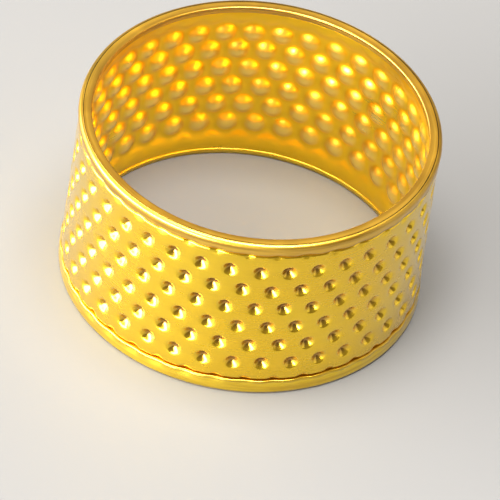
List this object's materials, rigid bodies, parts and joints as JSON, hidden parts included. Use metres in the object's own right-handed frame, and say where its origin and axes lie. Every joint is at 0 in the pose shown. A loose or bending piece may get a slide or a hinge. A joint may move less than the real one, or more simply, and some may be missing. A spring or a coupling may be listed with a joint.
{
  "type": "open-ended ring thimble",
  "caption": "Open-ended ring thimble: a short dimpled sheet band with a smooth folded rim hoop at each end, worn on a fingertip to push needles.",
  "frame": {"origin": "centre of the ring on the flat face of the lower rim", "axes": "+Z along the axis of the ring, from the lower rim to the upper rim; -Y is the side seen from the front"},
  "size_m": [0.019, 0.019, 0.0104],
  "materials": {
    "band_metal": "polished light gold with a soft haze, dimples bright",
    "rim_metal": "polished light gold with fine lines round the hoop"
  },
  "bodies": {
    "root": {"dimpled_band": "band_metal", "top_rim": "rim_metal", "bottom_rim": "rim_metal"}
  },
  "joints": []
}
